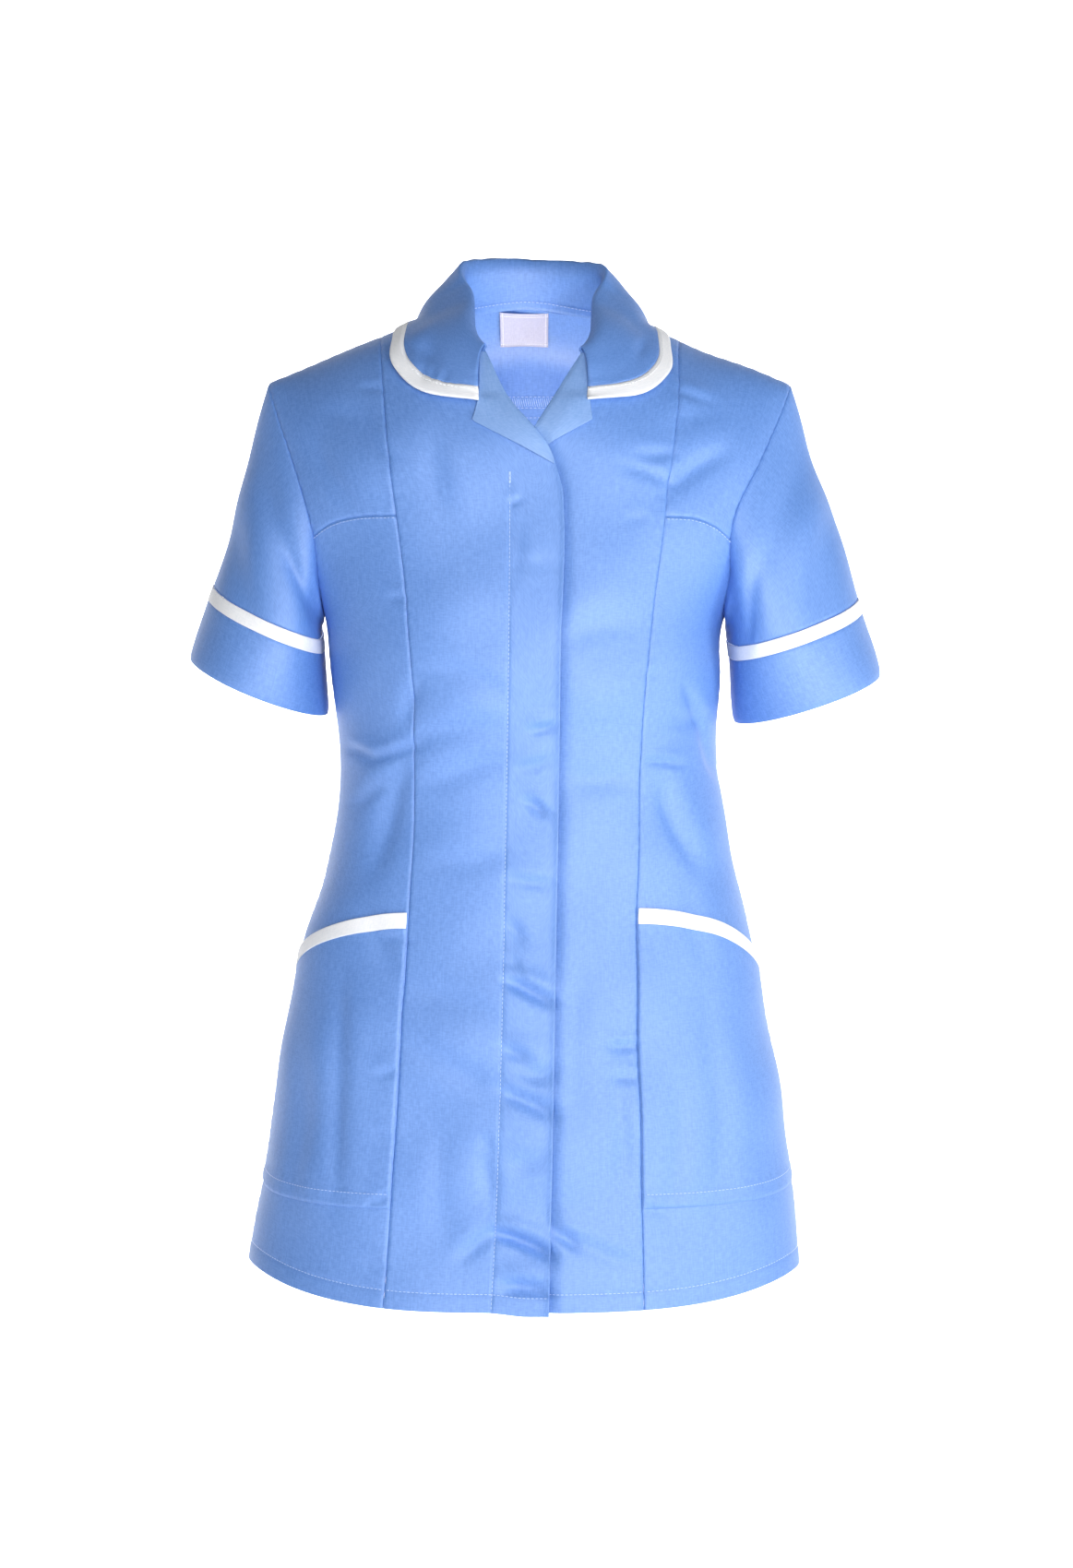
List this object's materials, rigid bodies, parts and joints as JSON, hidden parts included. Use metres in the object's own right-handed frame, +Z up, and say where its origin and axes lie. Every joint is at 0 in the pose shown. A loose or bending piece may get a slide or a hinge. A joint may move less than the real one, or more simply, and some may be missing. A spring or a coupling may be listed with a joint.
{
  "type": "work tunic",
  "caption": "Short-sleeved blue work tunic with a rounded revere collar, princess seams, white trims and hip pockets, hollow as worn.",
  "frame": {"origin": "middle of the neck opening, level with the neck ends of the shoulder seams, where the wearer's neck and shoulders hold the tunic up", "axes": "+Z up along the body, -Y towards the tunic's front, +X to the wearer's left"},
  "size_m": [0.498, 0.2336, 0.7561],
  "materials": {
    "cloth_blue": "plain-woven polyester and cotton, soft matt with a slight sheen",
    "trim_white": "plain-woven white polyester and cotton, matt",
    "label_pale": "woven satin tape, slight sheen"
  },
  "bodies": {
    "root": {"back_panel": "cloth_blue", "back_yoke": "cloth_blue", "front_centre_right": "cloth_blue", "front_centre_left": "cloth_blue", "side_front_lower_right": "cloth_blue", "side_front_lower_left": "cloth_blue", "side_front_upper_right": "cloth_blue", "side_front_upper_left": "cloth_blue", "sleeve_right": "cloth_blue", "sleeve_left": "cloth_blue", "cuff_right": "cloth_blue", "cuff_left": "cloth_blue", "pocket_right": "cloth_blue", "pocket_left": "cloth_blue", "revere_right": "cloth_blue", "revere_left": "cloth_blue", "collar": "cloth_blue", "sleeve_trim_right": "trim_white", "sleeve_trim_left": "trim_white", "pocket_trim_right": "trim_white", "pocket_trim_left": "trim_white", "collar_binding": "trim_white", "neck_label": "label_pale"}
  },
  "joints": []
}
